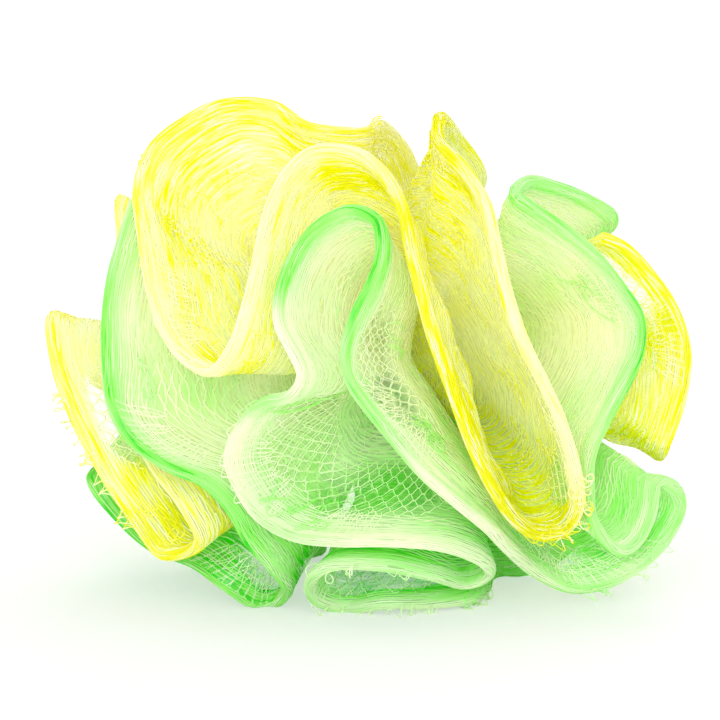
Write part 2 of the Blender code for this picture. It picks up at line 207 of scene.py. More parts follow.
# Loose threads: the curls over the walls and the loops on the lip. Ranges are in millimetres.
CURLS = 26
CURL_POINTS = 44
CURL_SPAN = (0.03, 0.97)
CURL_DEPTHS = (5, 22)
CURL_RUNS = (4, 14)
CURL_SLANTS = (-8, 8)
CURL_SWAY = 3.2 * MM
CURL_LIFT = 0.2
CURL_RISE = 0.7
CURL_TINT = 0.45
LOOPS = 48
LOOP_POINTS = 14
LOOP_WIDTHS = (1.5, 4.0)
LOOP_HEIGHTS = (1.0, 2.8)
LOOP_SLACK = 0.2
LOOP_OFFSET = 1.2
LOOP_LEAN = 0.8 * MM
LOOP_TINT = 0.8

# The haze: rows of its sheet near the lip, in millimetres, and how much of the light it catches.
FILM_STEP = 1.25 * MM
FILM_NEAR = [0, 0.9, 1.8, 2.7, 3.6, 4.8, 6.2, 8.0]
FILM_FAR_ROWS = 8
FILM_END = 1.0 * MM
FILM_MOTTLE = 0.15
FILM_MEAN = 0.55
FILM_LIP = 0.35
FILM_LIP_HOLD = 1.4
FILM_LIP_DEPTH = 5.0 * MM
FILM_OPENED = 0.85
FILM_MOST = 0.95
GATHER_POWER = 1.6

# How strong the colour is along each front run: right, up, then lip and wall (0 is white, 1 the full colour,
# above 1 painted shade that darkens the colour past full).
YELLOW_TINTS = [
    (-62, -4, .40, .15), (-52, -25, .45, .25), (-41, -40, .95, .80), (-43, -22, .35, .20),
    (-50, 12, .35, .20), (-12, 46, .75, .30), (-29, 51, .85, .30), (-43, 42, .60, .30),
    (-45, 24, .20, .15), (-40, 4, .05, .15),
    (-31, -3, .03, .20), (-24, 11, .06, .15), (-20, 29, .15, .15), (-11, 41, .15, .20), (2, 37, .30, .30),
    (8, 20, .80, .55), (12, 4, .95, .30), (20, -18, 1.0, .45), (29, -33, 1.0, .70), (39, -35, 1.0, .70),
    (41, -22, .12, .20), (34, -5, .06, .10), (27, 12, .10, .15), (23, 30, .30, .25), (14, 43, .90, .50),
    (60, -17, .90, .60), (64, 1, 1.0, .45), (56, 17, 1.0, .60), (46, 24, .90, .50),
]
GREEN_TINTS = [
    (-47, 31, .60, .20), (-52, 8, .90, .20), (-51, -10, .90, .25), (-40, -22, .75, .20),
    (-28, -30, .90, .60),
    # Walls above 1 in this row and the next are painted shade: the lower left fold and the bottom edge near
    # the floor, darkened past full colour towards the deepest green.
    (-17, -48, .70, .95), (-28, -47, .90, 1.1), (-43, -39, .95, 1.2), (-55, -27, .90, 1.1),
    (21, -49, .25, .90), (3, -50, .12, 1.2), (-11, -49, .15, 1.2), (-8, -42, .25, 1.1), (12, -44, .30, 1.1),
    (22, -41, .25, .70), (4, -37, .05, .35), (-15, -36, .03, .35), (-26, -26, .02, .35),
    (-25, -13, .05, .30),
    (-20, -8, .80, .25), (-16, -6, .10, .10), (-20, 4, .04, .05), (-19, 9, .10, .05), (-17, 14, .95, .05),
    (-10, 26, .90, .05), (1, 27, .90, .05), (0, 14, .85, .03), (-5, 1, .70, .08), (0, -11, .50, .15),
    (10, -23, .15, .22), (23, -34, .08, .30), (34, -44, .30, .60), (48, -46, .55, .75), (60, -37, .60, .75),
    (58, -25, .55, .55), (50, -39, .18, .55), (44, -20, .40, .25), (51, -6, .60, .10), (54, 8, .70, .08),
    (45, 20, .65, .08), (29, 32, .75, .15), (43, 32, .60, .12),
]

# How the drawn tints give way to the back's own tint along the edge, how patchy the stains and the painted
# shade of the bottom pockets are, and how soft the rim of an opening is.
FRONT_HOLD = 1.6
FRONT_FADE_STATIONS = 22
STAIN_AND_SHADE_MEAN = 0.75
STAIN_AND_SHADE_PATCHES = 0.6
OPENING_RIM = 1.5

# Patches of the netting: right, up, reach along the edge, depth below the lip, half depth, how strong.
YELLOW_OPENINGS = [(38, -14, 14, 7, 5, 1), (41, -25, 9, 9, 5, 1), (57, 16, 12, 9, 5, 1),
                   (-58, -14, 12, 9, 5, 1)]
GREEN_OPENINGS = [(-24, -20, 16, 16, 9, 1), (-6, -37, 20, 15, 8, .85), (-5, -6, 17, 9, 7, 1),
                  (2, -50, 24, 8, 5, .65), (-22, -49, 12, 9, 5, 1), (36, -46, 12, 10, 5, 1)]
YELLOW_STAINS = [(-35, -2, 14, 5.5, 2.5, .85), (-1, 38, 17, 6.5, 4.5, 1.3), (-44, 26, 26, 8, 3, .65),
                 (-20, 51, 24, 7, 4, .75), (-46, -34, 18, 7, 4.5, 1), (24, -26, 34, 4, 5, 1.25),
                 (31, -34, 9, 7, 7, 1), (14, 43, 12, 5, 6, 1.25), (61, 8, 16, 4, 5, .95),
                 (60, -17, 8, 6, 6, 1)]
# Green patches stronger than 1 are painted shade: the bottom pockets and the lower left fold darkened past
# full colour towards the deepest green. The others are the netting's own patches of stronger colour.
GREEN_STAINS_AND_SHADE = [(-17, -48, 12, 8, 8, 1.3), (-50, -33, 18, 8, 7, 1.2), (-22, -32, 22, 14, 7, .60),
                (-2, -37, 16, 16, 6, 1.0), (12, -50, 30, 9, 7, 1.35), (48, -46, 24, 12, 8, .9),
                (54, -37, 10, 7, 5, .9), (34, -44, 14, 12, 7, .9)]

# Fans of threads drawn straight down from the lip: right, up, reach along the edge, from and to this depth.
YELLOW_FANS = [(-50, 5, 12, 1, 9), (41, -18, 8, 1, 8), (14, 43, 5, 1, 7), (62, 4, 12, 1, 8)]
GREEN_FANS = [(-24, -24, 12, 1, 10), (-12, -46, 7, 0.5, 9), (-28, -46, 10, 0.5, 8), (6, -12, 12, 1, 10),
              (-8, -37, 8, 1, 9), (48, -46, 16, 1, 9), (50, 14, 12, 1, 9), (-46, -18, 12, 1, 9)]

# Runs where more loose threads curl over the wall: right, up, reach along the edge, how many.
YELLOW_CURLS = [(-44, 30, 26, 12), (-30, -1, 12, 5), (14, 40, 12, 3)]
GREEN_CURLS = [(-24, -24, 20, 4), (4, -14, 14, 3)]

# Runs of the lip where threads stand out in loops: right, up, reach along the edge.
YELLOW_LOOPS = [(-55, -20, 16), (40, -30, 12)]
GREEN_LOOPS = [(14, -50, 16), (2, -50, 14), (24, -47, 8), (-24, -20, 14), (50, -39, 12), (-2, -42, 12)]

# Colours of the netting, from nearly white through full to deepest, and how far light passes through it.
# Ribs are in millimetres, mottling in cells across a piece, and the cord's plies to the metre.
YELLOW_COLOURS = [(0.985, 0.982, 0.80), (0.97, 0.955, 0.003), (0.925, 0.915, 0.001)]
# The deepest green is painted shade: the bottom pockets and folds near the floor are tinted past full colour
# into it, and ribs and streaks reach into it in strongly coloured places.
GREEN_COLOURS = [(0.983, 0.983, 0.86), (0.46, 0.955, 0.21), (0.05, 0.82, 0.01)]
DEEPEST_TINT = 1.4
RIB_LENGTH = 10.0
RIB_WIDTH = 0.55
RIB_FLOOR = 0.08
MOTTLE = 0.16
MOTTLE_CELLS = 620
MATT = 0.6
STRAND_THROUGH = 0.45
STRAND_GLOSS = 0.04
GLOSS_ROUGHNESS = 0.35
FILM_THROUGH = 0.5
RIB_RANGE = (0.3, 0.7)
STREAK_RANGE = (0.45, 1.45)
CORD_COLOUR = (0.86, 0.90, 0.84)
CORD_PLIES = 900
CORD_UNEVEN = 1.5
CORD_BUMP = 0.5
CORD_BUMP_HEIGHT = 0.2 * MM

# What else differs between the two lengths. Each one's threads are made as this many pieces.
STRAND_PARTS = 3
YELLOW = SimpleNamespace(
    colour="yellow", seed=11, edge=YELLOW_EDGE, tints=YELLOW_TINTS, openings=YELLOW_OPENINGS,
    stains_and_shade=YELLOW_STAINS, fans=YELLOW_FANS, curls=YELLOW_CURLS, loops=YELLOW_LOOPS,
    colours=YELLOW_COLOURS, lip_depth=2.3 * MM, back_tint=0.30, rib_strength=5.0, thread_bias=0.06,
)
GREEN = SimpleNamespace(
    colour="green", seed=29, edge=GREEN_EDGE, tints=GREEN_TINTS, openings=GREEN_OPENINGS,
    stains_and_shade=GREEN_STAINS_AND_SHADE, fans=GREEN_FANS, curls=GREEN_CURLS, loops=GREEN_LOOPS,
    colours=GREEN_COLOURS, lip_depth=3.3 * MM, back_tint=0.60, rib_strength=1.5, thread_bias=-0.22,
)

# White floor and room, two soft boxes, and the camera.
FLOOR_HALF = 6.0
FLOOR_COLOUR = (0.97, 0.97, 0.97)
FLOOR_WHITE = 0.5
ROOM_LIGHT = 0.92
KEY_WATTS = 13.0
BACK_WATTS = 8.0
LAMP_SIZE = 1.0
KEY_PLACE = (-0.12, -1.5, 0.6)
BACK_PLACE = (0.3, 1.2, 1.3)
CAMERA_SENSOR = 36
CAMERA_LENS = 400
CAMERA_DISTANCE = 1.6
CAMERA_FAR = 50
FRAME_RIGHT = -1.6 * MM
FRAME_UP = -0.8 * MM

# How long the light is followed through the layers of netting.
CLEAR_LAYERS = 24
LIGHT_BOUNCES = 20
NOISE_LIMIT = 0.05


def ball_point(right, up, reach, side):
    """The drawn point as a place in space, the ball's middle at the origin."""
    across = math.hypot(right / DRAWN_HALF_WIDTH, up / DRAWN_HALF_HEIGHT) / reach
    if across > RIM_LIMIT:
        reach *= across / RIM_LIMIT
        across = RIM_LIMIT
    toward = side * BALL_HALF_DEPTH * math.sqrt(1 - across**2) * reach
    x = right / DRAWN_HALF_WIDTH * BALL_HALF_WIDTH
    v = up / DRAWN_HALF_HEIGHT * BALL_HALF_HEIGHT
    y = v * math.sin(VIEW_TILT) - toward * math.cos(VIEW_TILT)
    z = v * math.cos(VIEW_TILT) + toward * math.sin(VIEW_TILT)
    return np.array([x, y, z])


def smooth_curve(points):
    """A centripetal spline through the points, which keeps tight bends free of loops."""
    ends = np.vstack([2 * points[0] - points[1], points, 2 * points[-1] - points[-2]])
    runs = []
    for a, b, c, d in zip(ends, ends[1:], ends[2:], ends[3:]):
        t1 = math.sqrt(np.linalg.norm(b - a))
        t2 = t1 + math.sqrt(np.linalg.norm(c - b))
        t3 = t2 + math.sqrt(np.linalg.norm(d - c))
        t = np.linspace(t1, t2, PATH_STEPS, endpoint=False)[:, None]
        ab = (t1 - t) / t1 * a + t / t1 * b
        bc = (t2 - t) / (t2 - t1) * b + (t - t1) / (t2 - t1) * c
        cd = (t3 - t) / (t3 - t2) * c + (t - t2) / (t3 - t2) * d
        left = (t2 - t) / t2 * ab + t / t2 * bc
        right = (t3 - t) / (t3 - t1) * bc + (t - t1) / (t3 - t1) * cd
        runs.append((t2 - t) / (t2 - t1) * left + (t - t1) / (t2 - t1) * right)
    runs.append(points[-1:])
    return np.vstack(runs)


def folded_edge(drawn):
    """The outer edge at even steps, lifted to the flat base."""
    points = [ball_point(right, up, reach, side) for side, run in drawn for right, up, reach in run]
    curve = smooth_curve(np.array(points))
    below = curve[:, 2] < -BASE_DROP
    curve[below] *= (-BASE_DROP / curve[below, 2])[:, None]
    travelled = np.concatenate([[0], np.cumsum(np.linalg.norm(np.diff(curve, axis=0), axis=1))])
    wanted = np.linspace(0, travelled[-1], int(travelled[-1] / EDGE_STEP) + 1)
    return np.stack([np.interp(wanted, travelled, curve[:, k]) for k in range(3)], axis=1)


def twist_at(radius):
    """How far the sheet has turned round the upright axis at this radius, most at the gathers."""
    return GATHER_TWIST * np.maximum(0, 1 - radius / TWIST_REACH) ** TWIST_POWER


def turned(points, angle):
    """The points turned round the upright axis."""
    c = np.cos(angle)
    s = np.sin(angle)
    x = points[..., 0] * c - points[..., 1] * s
    y = points[..., 0] * s + points[..., 1] * c
    return np.stack([x, y, points[..., 2] + 0 * x], axis=-1)


def sheet_point(edge, radius):
    """The place on the folded sheet at this radius, for each station of its outer edge."""
    reach = np.linalg.norm(edge, axis=-1)
    direction = turned(edge / reach[..., None], -twist_at(reach))
    return turned(direction * radius[..., None], twist_at(radius))


def room_beside(edge, others):
    """Distance from each station to the next fold over, along the ball."""
    directions = edge / np.linalg.norm(edge, axis=1)[:, None]
    stations = np.arange(len(edge))
    apart = np.arccos(np.clip(directions @ directions.T, -1, 1))
    apart[np.abs(stations[:, None] - stations[None]) < OWN_FOLD / EDGE_STEP] = math.pi
    other = others / np.linalg.norm(others, axis=1)[:, None]
    beside = np.arccos(np.clip(directions @ other.T, -1, 1)).min(axis=1)
    return np.minimum(apart.min(axis=1), beside) * np.linalg.norm(edge, axis=1)


def smoothed(values, width):
    """A running mean over this many stations, the ends held."""
    padded = np.concatenate([np.full(width, values[0]), values, np.full(width, values[-1])])
    window = np.hanning(width + 2)[1:-1]
    return np.convolve(padded, window / window.sum(), mode="same")[width:-width]


def unit(vectors):
    return vectors / np.maximum(np.linalg.norm(vectors, axis=-1, keepdims=True), 1e-12)


class Ripples:
    """Smooth random waves over two measures, between about -1 and 1, of the given lengths."""

    def __init__(self, seed, first_length, second_length, waves=7):
        random = np.random.default_rng(seed)
        self.first = random.normal(0, WAVE_SPREAD, waves) / first_length
        self.second = random.normal(0, WAVE_SPREAD, waves) / second_length
        self.phase = random.uniform(0, 2 * math.pi, waves)
        self.scale = math.sqrt(2 / waves) / WAVE_PEAK

    def __call__(self, first, second):
        total = 0
        for a, b, phase in zip(self.first, self.second, self.phase):
            total = total + np.sin(first * a + second * b + phase)
        return total * self.scale


def off_patch(station, depth, patch):
    """0 at the middle of a patch of the netting, 1 on its rim."""
    at, reach, below, half, _ = patch
    return ((station - at) / reach) ** 2 + ((depth - below) / half) ** 2


class Fold:
    """One length of netting: places on its walls by distance along the edge and across from its lip."""

    def __init__(self, length, edge, others, shift):
        self.edge = edge
        self.shift = shift
        self.lip_depth = length.lip_depth
        self.stations = len(edge)
        self.length = (self.stations - 1) * EDGE_STEP
        self.reach = np.linalg.norm(edge, axis=1)
        self.room = smoothed(room_beside(edge, others), SMOOTH_STATIONS)
        half_width = np.clip(self.room * ROOM_SHARE, NARROWEST_LIP, LIP_HALF_WIDTH)
        self.lip = smoothed(half_width, SMOOTH_STATIONS)
        rows = np.linspace(0, 1, GRID_ROWS)
        radius = DEEPEST_RADIUS + (self.reach[:, None] - DEEPEST_RADIUS) * rows[None]
        self.middle = sheet_point(edge[:, None, :] + np.zeros((1, GRID_ROWS, 1)), radius)
        along = np.gradient(self.middle, axis=0)
        outward = np.gradient(self.middle, axis=1)
        self.normal = unit(np.cross(along, outward))
        self.crumple = Ripples(length.seed, *CRUMPLE_WAVES)
        self.bunching = Ripples(length.seed + 1, *BUNCHING_WAVES)
        self.streaks = Ripples(length.seed + 2, *STREAK_WAVES, STREAK_COUNT)
        self.patches = Ripples(length.seed + 3, *PATCH_WAVES)
        self.tints = self.tint_rows(length.tints, length.back_tint)
        self.openings = self.patch_places(length.openings)
        self.stains_and_shade = self.patch_places(length.stains_and_shade)

    def nearest(self, right, up):
        """The station of the edge closest to a point drawn on the front of the ball."""
        return int(np.linalg.norm(self.edge - ball_point(right, up, 1, FRONT), axis=1).argmin())

    def patch_places(self, drawn):
        """Drawn patches as distance along the edge, reach, depth, half depth and strength."""
        return [(self.nearest(right, up) * EDGE_STEP, reach * MM, depth * MM, half * MM, strength)
                for right, up, reach, depth, half, strength in drawn]

    def tint_rows(self, tints, back_tint):
        """Colour strength of the lip and of the wall at every station."""
        known = sorted((self.nearest(right, up), lip, wall) for right, up, lip, wall in tints)
        at = np.array([k[0] for k in known], float)
        every = np.arange(self.stations)
        gap = np.abs(every[:, None] - at[None]).min(axis=1)
        front = np.clip(FRONT_HOLD - gap / FRONT_FADE_STATIONS, 0, 1)
        rows = []
        for column in (1, 2):
            drawn = np.interp(every, at, [k[column] for k in known])
            rows.append(smoothed(drawn * front + back_tint * (1 - front), SMOOTH_STATIONS))
        return rows

    def sample(self, grid, station, row):
        """Values of a grid between its stations and rows."""
        s = np.clip(station / EDGE_STEP, 0, self.stations - GRID_END)
        r = np.clip(row * (GRID_ROWS - 1), 0, GRID_ROWS - GRID_END)
        i = s.astype(int)
        j = r.astype(int)
        fs = (s - i)[..., None]
        fr = (r - j)[..., None]
        low = grid[i, j] * (1 - fr) + grid[i, j + 1] * fr
        high = grid[i + 1, j] * (1 - fr) + grid[i + 1, j + 1] * fr
        return low * (1 - fs) + high * fs

    def along(self, values, station):
        """Values known at every station, at these distances along the edge."""
        return np.interp(station / EDGE_STEP, np.arange(self.stations), values)

    def depth(self, across):
        """Distance below the lip, for a distance across the netting from the top of its lip."""
        far = np.abs(across)
        angle = np.minimum(far / LIP_ARC, 1) * math.pi / 2
        return LIP_HEIGHT * (1 - np.cos(angle)) + np.maximum(far - LIP_ARC, 0)

    def place(self, station, across, lift=0.0):
        """Place and outward normal of the netting, lifted off its wall by the given height."""
        far = np.abs(across)
        reach = self.along(self.reach, station)
        lip = self.along(self.lip, station)
        room = self.along(self.room, station)
        depth = self.depth(across)
        row = (reach - depth - DEEPEST_RADIUS) / (reach - DEEPEST_RADIUS)
        middle = self.sample(self.middle, station, row)
        normal = unit(self.sample(self.normal, station, row))
        angle = np.minimum(far / LIP_ARC, 1) * math.pi / 2
        below = np.maximum(far - LIP_ARC, 0)
        narrow = (np.maximum(reach - depth, 0) / reach) ** NARROWING_POWER
        spread = np.exp(-((below / LIP_FADE) ** LIP_FADE_POWER))
        gap = WALL_HALF_GAP * narrow + (lip - WALL_HALF_GAP) * spread
        side = np.sign(across)
        sway = self.crumple(station, depth) * np.minimum(CRUMPLE, CRUMPLE_ROOM_SHARE * room)
        sway = sway * np.clip(below / CRUMPLE_START, 0, 1)
        offset = side * (gap * np.sin(angle) + lift * np.sin(angle)) + sway * narrow
        rise = lift * np.cos(angle)
        points = middle + normal * offset[..., None] + unit(middle) * rise[..., None]
        points = points + self.shift
        points[..., 2] = np.maximum(points[..., 2], FLOOR_CLEARANCE)
        facing = normal * (side * np.sin(angle))[..., None] + unit(middle) * np.cos(angle)[..., None]
        return points, unit(facing)

    def tint(self, station, across):
        """Colour strength at a place on the netting."""
        depth = self.depth(across)
        lip, wall = (self.along(row, station) for row in self.tints)
        share = np.exp(-((depth / self.lip_depth) ** 2))
        found = lip * share + wall * (1 - share)
        patchy = np.clip(STAIN_AND_SHADE_MEAN + STAIN_AND_SHADE_PATCHES * self.patches(station, across), 0, 1)
        # Patches stronger than 1 are painted shade, darkening the bottom pockets past full colour; the weaker
        # ones are stains of stronger colour.
        for stain_and_shade in self.stains_and_shade:
            stained_and_shaded = np.exp(-(off_patch(station, depth, stain_and_shade) ** 2)) * patchy
            found = found + (stain_and_shade[-1] - found) * stained_and_shaded
        return found

    def opening(self, station, across):
        """1 where the cells stand wide open, 0 where they are drawn closed."""
        depth = self.depth(across)
        found = 0 * depth
        for patch in self.openings:
            inside = np.clip(OPENING_RIM - off_patch(station, depth, patch), 0, 1)
            found = np.maximum(found, patch[-1] * inside)
        return found


def new_mesh(name, points, faces, attributes, material):
    """A mesh object with point attributes, in the scene."""
    mesh = bpy.data.meshes.new(name)
    mesh.from_pydata(points.tolist(), [], faces.tolist())
    for label, values in attributes.items():
        kind = "FLOAT" if values.ndim == 1 else "FLOAT_VECTOR"
        layer = mesh.attributes.new(label, kind, "POINT")
        layer.data.foreach_set("value" if kind == "FLOAT" else "vector", values.astype(np.float32).ravel())
    mesh.materials.append(material)
    obj = bpy.data.objects.new(name, mesh)
    bpy.context.scene.collection.objects.link(obj)
    return obj


def strand_lines(fold, bias, seed):
    """Every strand of one length of netting.

    A line is the places along a thread, the way its flat side faces, its colour strengths and radii,
    where it is shown, and where it runs on the netting.
    """
    random = np.random.default_rng(seed)
    step = CELL_LENGTH / STEPS_PER_CELL
    station = np.arange(0, fold.length, step)
    phase = np.arange(len(station)) * (2 * math.pi / STEPS_PER_CELL)
    at = [0.0]
    while at[-1] < DEEPEST_STRAND:
        at.append(at[-1] + MM * np.interp(at[-1] / MM, *zip(*SPACINGS)))
    levels = [-a for a in at[:0:-1]] + at
    lines = []
    for number, level in enumerate(levels):
        across = level + 0 * station
        spacing = MM * np.interp(abs(level) / MM, *zip(*SPACINGS))
        slack = 1 + BUNCHING * fold.bunching(station, across)
        slack = slack * np.interp(abs(level) / MM, *zip(*SWINGS))
        wave = np.clip(slack, LEAST_SWING, 1)
        swing = np.sin(phase + math.pi * (number % 2))
        wander = fold.bunching(station + WANDER_START, across) * spacing * WANDER_SHARE
        wander = wander + random.normal(0, JITTER_SHARE * spacing, len(station))
        line = level + swing * wave * spacing * SWING_SHARE + wander
        lift = random.uniform(*STRAND_LIFTS) * MM
        points, facing = fold.place(station, line, lift + 0 * station)
        depth = fold.depth(line)
        streak = fold.streaks(station, line) * STREAK_TINT + random.normal(0, STREAK_NOISE)
        tint = fold.tint(station, line) + bias * np.clip(depth / WALL_START, 0, 1)
        tint = np.clip(tint + streak, 0, DEEPEST_TINT)
        shown = fold.along(fold.reach, station) - depth > DEEPEST_RADIUS + STRAND_END
        shown &= fold.opening(station, across) < OPEN_ENOUGH
        shown &= random.random(len(station)) > BREAKS
        share = np.exp(-((depth / WALL_START) ** 2))
        thick = WALL_STRAND_RADIUS + (LIP_STRAND_RADIUS - WALL_STRAND_RADIUS) * share
        thick = thick * np.clip(1 + UNEVEN_RADIUS * fold.patches(station, line), *RADIUS_RANGE)
        swell = np.interp(tint, SWELL_TINTS, (0, 1))
        thick = thick + STREAK_SWELL * swell * (1 - share)
        lines.append((points, facing, tint, thick, shown, station, line))
    return lines


def lace_lines(fold, seed):
    """White cells with rounded sides, where the netting stands open, as (middle station, line) pairs."""
    random = np.random.default_rng(seed)
    laces = []
    for patch in fold.openings:
        at, reach, below, half, _ = patch
        first = max(at - PATCH_REACH * reach, 0)
        last = min(at + PATCH_REACH * reach, fold.length)
        station = np.arange(first, last, LACE_STEP)
        for side in (-1, 1):
            top = max(below - PATCH_REACH * half, LIP_HEIGHT)
            for number, depth in enumerate(np.arange(top, below + PATCH_REACH * half, LACE_PITCH)):
                turn = 2 * math.pi * station / LACE_CELL + math.pi * (number % 2)
                swing = np.sin(turn + LACE_UNEVEN * fold.bunching(station, depth + 0 * station))
                wander = LACE_WANDER * fold.patches(station, side * LACE_WANDER_ROW + 0 * station)
                line = side * (depth - LIP_HEIGHT + LIP_ARC + LACE_SWING * swing + wander)
                line = line + random.normal(0, LACE_JITTER, len(station))
                points, facing = fold.place(station, line, LACE_LIFT + 0 * station)
                tint = LACE_TINT * fold.tint(station, line)
                shown = off_patch(station, fold.depth(line), patch) < LACE_RIM
                thick = np.full(len(station), LACE_RADIUS)
                laces.append((at, (points, facing, tint, thick, shown, station, line)))
    return laces


def fan_lines(fold, drawn_fans, seed):
    """Threads drawn out straight down from the lip, in pairs that meet, as (middle station, line) pairs."""
    random = np.random.default_rng(seed)
    fans = []
    share = np.linspace(0, 1, FAN_POINTS)
    for right, up, reach, begin, end in drawn_fans:
        middle = fold.nearest(right, up) * EDGE_STEP
        for number, offset in enumerate(np.arange(-reach, reach, FAN_PITCH / MM)):
            for side in (-1, 1):
                depth = (begin + (end - begin) * share * random.uniform(*FAN_REACHES)) * MM
                bow = FAN_BOW * np.sin(2 * math.pi * share + math.pi * (number % 2))
                station = middle + offset * MM * (1 - FAN_NARROWING * share) + bow
                station = station + random.normal(0, FAN_JITTER) * MM
                station = station + random.uniform(-FAN_STRAY, FAN_STRAY) * MM * share**2
                station = np.clip(station, 0, fold.length)
                line = side * (np.maximum(depth - LIP_HEIGHT, 0) + LIP_ARC)
                points, facing = fold.place(station, line, FAN_LIFT + 0 * station)
                tint = FAN_TINT * fold.tint(station, line)
                thick = np.full(FAN_POINTS, LACE_RADIUS)
                shown = np.ones(FAN_POINTS, bool)
                fans.append((middle, (points, facing, tint, thick, shown, station, line)))
    return fans


def curl_lines(fold, drawn_runs, seed):
    """Loose threads that curl away from the walls, as (middle station, line) pairs."""
    random = np.random.default_rng(seed)
    curls = []
    share = np.linspace(0, 1, CURL_POINTS)
    middles = list(random.uniform(*CURL_SPAN, CURLS) * fold.length)
    for right, up, reach, count in drawn_runs:
        middles += list(fold.nearest(right, up) * EDGE_STEP + random.uniform(-1, 1, count) * reach * MM)
    for middle in middles:
        side = random.choice([-1, 1])
        below = random.uniform(*CURL_DEPTHS) * MM
        waves = Ripples(random.integers(1 << 30), *CURL_WAVES, CURL_COUNT)
        weave = Ripples(random.integers(1 << 30), *CURL_WAVES, CURL_COUNT)
        run = random.uniform(*CURL_RUNS) * MM
        station = middle + (share - 0.5) * run + CURL_SWAY * waves(share, 0)
        slant = random.uniform(*CURL_SLANTS) * MM
        across = side * (below + (share - 0.5) * slant + CURL_SWAY * weave(share, 0))
        lift = (CURL_LIFT + CURL_RISE * np.sin(math.pi * share) ** 2) * MM
        points, facing = fold.place(np.clip(station, 0, fold.length), across, lift)
        tint = np.clip(fold.tint(station, across) + CURL_TINT, 0, 1)
        thick = np.full(CURL_POINTS, LIP_STRAND_RADIUS)
        shown = np.ones(CURL_POINTS, bool)
        curls.append((middle, (points, facing, tint, thick, shown, station, across)))
    return curls


def loop_lines(fold, drawn_runs, seed):
    """Threads that stand out from the lip in small loops, as (middle station, line) pairs."""
    random = np.random.default_rng(seed)
    share = np.linspace(0, 1, LOOP_POINTS)
    loops = []
    for number in range(LOOPS):
        right, up, reach = drawn_runs[number % len(drawn_runs)]
        middle = fold.nearest(right, up) * EDGE_STEP + random.uniform(-1, 1) * reach * MM
        width = random.uniform(*LOOP_WIDTHS) * MM
        height = random.uniform(*LOOP_HEIGHTS) * MM
        station = middle + (share - 0.5 + LOOP_SLACK * np.sin(2 * math.pi * share)) * width
        across = random.uniform(-LOOP_OFFSET, LOOP_OFFSET) * MM + LOOP_LEAN * np.cos(math.pi * share)
        lift = height * np.sin(math.pi * share)
        points, facing = fold.place(np.clip(station, 0, fold.length), across, lift)
        tint = fold.tint(station, across) * LOOP_TINT
        thick = np.full(LOOP_POINTS, LIP_STRAND_RADIUS)
        shown = np.ones(LOOP_POINTS, bool)
        loops.append((middle, (points, facing, tint, thick, shown, station, across)))
    return loops


def share_of_lines(lines, loose, first, last, length):
    """The runs of strands, and the loose threads, that lie between two shares of the length."""
    kept = []
    for line in lines:
        count = len(line[0]) - 1
        kept.append(tuple(values[int(first * count):int(last * count) + 1] for values in line))
    kept += [line for middle, line in loose if first * length <= middle < last * length]
    return kept


def strand_mesh(name, lines, material):
    """Three-sided strands along the lines, as one object."""
    all_points = []
    all_faces = []
    all_tints = []
    all_weaves = []
    count = 0
    for points, facing, tint, thick, shown, station, line in lines:
        ahead = unit(np.gradient(points, axis=0))
        across = unit(np.cross(ahead, facing))
        ring = []
        for turn in (-math.pi / 2, math.pi / 6, math.pi * 5 / 6):
            spread = across * math.cos(turn) + facing * math.sin(turn)
            ring.append(points + spread * thick[:, None])
        all_points.append(np.stack(ring, axis=1).reshape(-1, 3))
        all_tints.append(np.repeat(tint, 3) / DEEPEST_TINT)
        weave = np.stack([station / MM, line / MM, 0 * station], axis=1)
        all_weaves.append(np.repeat(weave, 3, axis=0))
        base = count + 3 * np.flatnonzero(shown[1:] & shown[:-1])
        for side in range(3):
            other = (side + 1) % 3
            corners = [base + side, base + other, base + 3 + other, base + 3 + side]
            all_faces.append(np.stack(corners, axis=1))
        count += 3 * len(points)
    points = np.vstack(all_points)
    faces = np.vstack(all_faces)
    tints = np.concatenate(all_tints)
    weaves = np.vstack(all_weaves)
    used = np.unique(faces)
    renumber = np.zeros(len(points), int)
    renumber[used] = np.arange(len(used))
    attributes = {"tint": tints[used], "weave": weaves[used]}
    return new_mesh(name, points[used], renumber[faces], attributes, material)


def film_mesh(name, fold, material):
    """The haze of the finest threads between the strands, as one thin sheet round the lip."""
    near = np.array(FILM_NEAR) * MM
    station = np.arange(0, fold.length, FILM_STEP)
    reach = fold.along(fold.reach, station)
    deepest = reach - DEEPEST_RADIUS - LIP_HEIGHT + LIP_ARC - FILM_END
    shares = np.linspace(0, 1, FILM_FAR_ROWS + 1)[1:]
    far = near[-1] + (deepest[:, None] - near[-1]) * shares[None]
    half = np.hstack([near[None] + 0 * reach[:, None], far])
    across = np.hstack([-half[:, :0:-1], half])
    wide = station[:, None] + 0 * across
    points, _ = fold.place(wide, across)
    rows = across.shape[1]
    corner = (np.arange(len(station) - 1)[:, None] * rows + np.arange(rows - 1)[None]).ravel()
    faces = np.stack([corner, corner + 1, corner + rows + 1, corner + rows], axis=1)
    mottled = fold.tint(wide, across) + FILM_MOTTLE * fold.patches(wide, across)
    tint = np.clip(mottled, 0, DEEPEST_TINT).ravel()
    clear = fold.opening(wide, across).ravel()
    weave = np.stack([wide.ravel() / MM, across.ravel() / MM, 0 * clear], axis=1)
    depth = fold.depth(across)
    radius = fold.along(fold.reach, wide) - depth
    drawn_in = (fold.along(fold.reach, wide) / radius) ** GATHER_POWER
    lip = FILM_LIP * np.clip(FILM_LIP_HOLD - depth / FILM_LIP_DEPTH, 0, 1)
    cover = (FILM_MEAN * drawn_in + lip).ravel() * (1 - FILM_OPENED * clear)
    cover = np.clip(cover, 0, FILM_MOST)
    attributes = {"tint": tint / DEEPEST_TINT, "weave": weave, "cover": cover}
    film = new_mesh(name, points.reshape(-1, 3), faces, attributes, material)
    film.data.shade_smooth()
    return film


